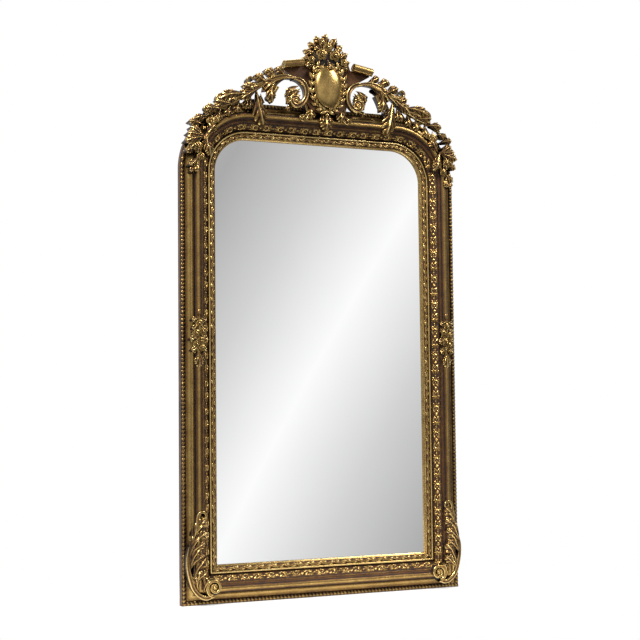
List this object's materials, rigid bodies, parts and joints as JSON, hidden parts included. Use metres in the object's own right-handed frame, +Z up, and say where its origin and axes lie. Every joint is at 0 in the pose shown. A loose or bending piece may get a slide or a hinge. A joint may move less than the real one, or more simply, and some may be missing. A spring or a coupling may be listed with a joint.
{
  "type": "floor mirror",
  "caption": "Full-length floor mirror with rounded upper corners in a carved, gilt moulded frame with a pierced scroll and acanthus crest.",
  "frame": {"origin": "middle of the flat foot of the frame, on the floor", "axes": "+Z up the height of the mirror, +Y back towards the wall so that the glass faces -Y, +X to the right seen from the front"},
  "size_m": [1.04, 0.1468, 1.953],
  "materials": {
    "gilt_moulding": "antique gold leaf over dark red-brown ground, rubbed and darkened in the hollows",
    "gilt_casting": "moulded composition ornament with antique gold finish and dark wash",
    "silvered_glass": "clear float glass silvered on the back",
    "hardboard": "brown hardboard",
    "pine": "plain sawn pine",
    "zinc_steel": "bright zinc-plated steel",
    "rubber": "black rubber"
  },
  "bodies": {
    "mirror": {"acanthus_arm_left": "gilt_casting", "acanthus_arm_right": "gilt_casting", "back_corner_left": "pine", "back_corner_right": "pine", "back_rail_bottom": "pine", "back_rail_top": "pine", "back_stile_left": "pine", "back_stile_right": "pine", "backing_board": "hardboard", "c_scroll_left": "gilt_casting", "c_scroll_right": "gilt_casting", "cabochon": "gilt_casting", "cartouche_plate": "gilt_casting", "corner_acanthus_left": "gilt_casting", "corner_acanthus_right": "gilt_casting", "corner_volute_left": "gilt_casting", "corner_volute_right": "gilt_casting", "crest_packing_lower": "pine", "crest_packing_upper": "pine", "crest_post": "pine", "crest_roll_left": "gilt_casting", "crest_roll_right": "gilt_casting", "crest_straps": "zinc_steel", "flower_crown": "gilt_casting", "foot_scroll_left": "gilt_casting", "foot_scroll_right": "gilt_casting", "glass_blocks_ends": "pine", "glass_blocks_sides": "pine", "hanger_screws_left": "zinc_steel", "hanger_screws_right": "zinc_steel", "hanger_strap_left": "zinc_steel", "hanger_strap_right": "zinc_steel", "hanging_leaf_left": "gilt_casting", "hanging_leaf_right": "gilt_casting", "laurel_spray_left": "gilt_casting", "laurel_spray_right": "gilt_casting", "mirror_glass": "silvered_glass", "outer_moulding_bottom": "gilt_moulding", "outer_moulding_corner_left": "gilt_moulding", "outer_moulding_corner_right": "gilt_moulding", "outer_moulding_left": "gilt_moulding", "outer_moulding_right": "gilt_moulding", "outer_moulding_top": "gilt_moulding", "pendant_leaf": "gilt_casting", "shoulder_garland_left": "gilt_casting", "shoulder_garland_right": "gilt_casting", "sight_moulding_bottom": "gilt_moulding", "sight_moulding_corner_left": "gilt_moulding", "sight_moulding_corner_right": "gilt_moulding", "sight_moulding_left": "gilt_moulding", "sight_moulding_right": "gilt_moulding", "sight_moulding_top": "gilt_moulding", "stile_drop_left": "gilt_casting", "stile_drop_right": "gilt_casting", "wall_bumpers_left": "rubber", "wall_bumpers_right": "rubber"},
    "ring_left": {"hanger_ring_left": "zinc_steel"},
    "ring_right": {"hanger_ring_right": "zinc_steel"}
  },
  "joints": [
    {"name": "ring_left_swing", "type": "hinge", "parent": "mirror", "child": "ring_left", "pos_m": [-0.456, 0.03165, 1.25], "axis": [1, 0, 0], "range_deg": [0, 180]},
    {"name": "ring_right_swing", "type": "hinge", "parent": "mirror", "child": "ring_right", "pos_m": [0.456, 0.03165, 1.25], "axis": [1, 0, 0], "range_deg": [0, 180]}
  ]
}
